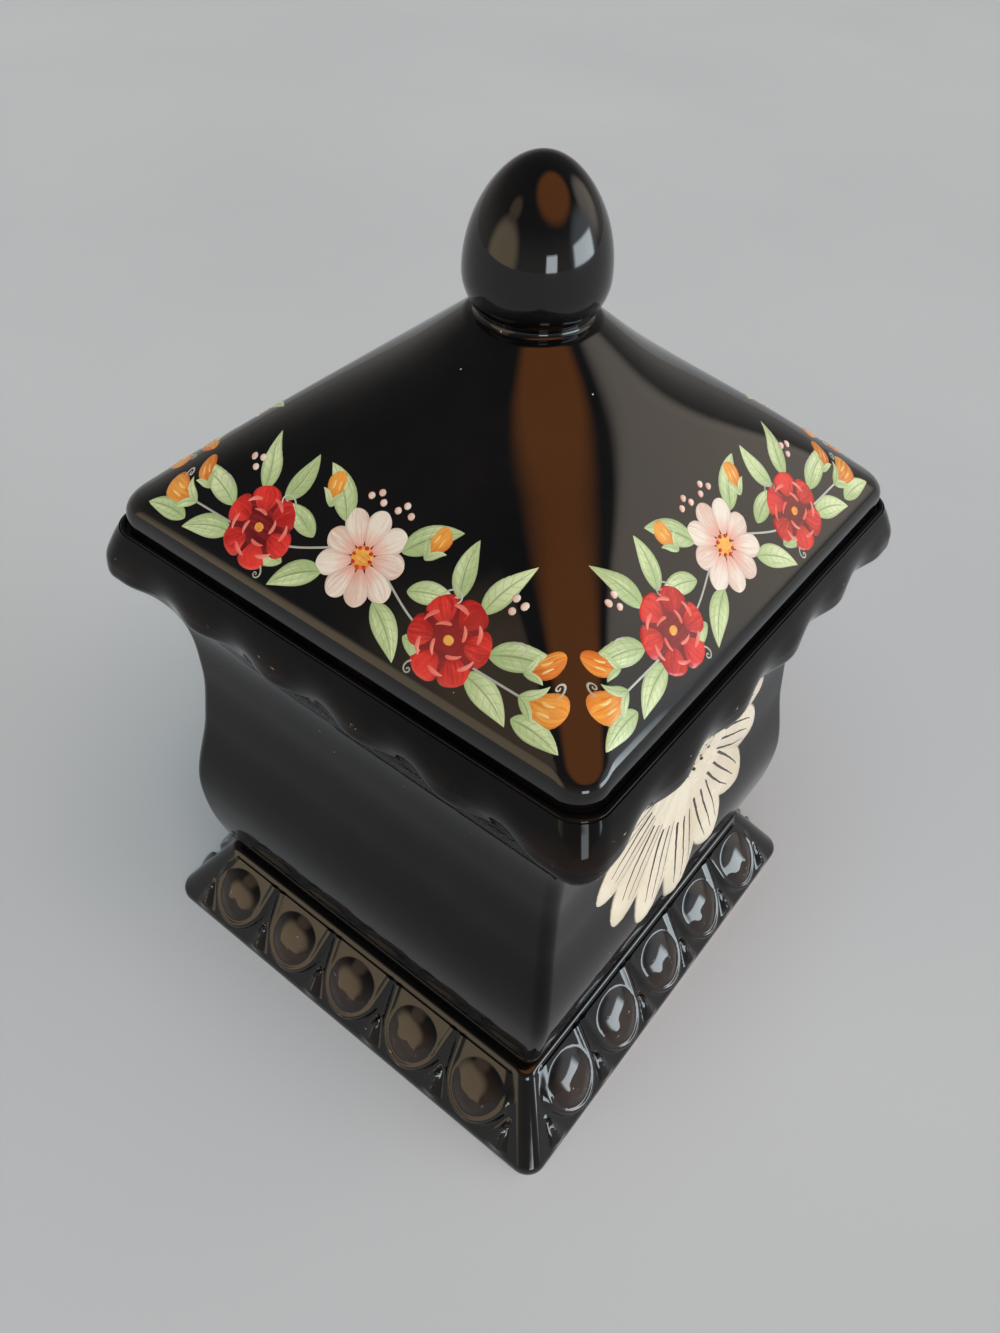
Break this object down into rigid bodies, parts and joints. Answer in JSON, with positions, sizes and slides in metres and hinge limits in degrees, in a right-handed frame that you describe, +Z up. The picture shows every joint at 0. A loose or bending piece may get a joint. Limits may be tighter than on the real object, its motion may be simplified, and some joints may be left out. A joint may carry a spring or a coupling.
{
  "type": "lidded canister",
  "caption": "Square earthenware canister with a waisted body on a flared plinth, a scalloped rim and a lift-off pyramid lid with an egg-shaped knob.",
  "frame": {"origin": "middle of the plinth's foot, on the surface it stands on", "axes": "+Z up, -Y towards the front face with the palmette, X across the front"},
  "size_m": [0.166, 0.166, 0.2655],
  "materials": {
    "black_glaze": "deep gloss black glaze",
    "cream_glaze": "gloss cream glaze"
  },
  "bodies": {
    "jar": {"jar_body": "black_glaze", "scalloped_rim": "black_glaze", "plinth": "black_glaze", "plinth_shells": "black_glaze", "plinth_eggs": "black_glaze", "plinth_darts": "black_glaze", "front_palmette": "cream_glaze"},
    "lid": {"lid_shell": "black_glaze", "lid_flange": "black_glaze", "finial": "black_glaze"}
  },
  "joints": [
    {"name": "lid_lift", "type": "slide", "parent": "jar", "child": "lid", "axis": [0, 0, 1], "range_m": [0, 0.12]}
  ]
}
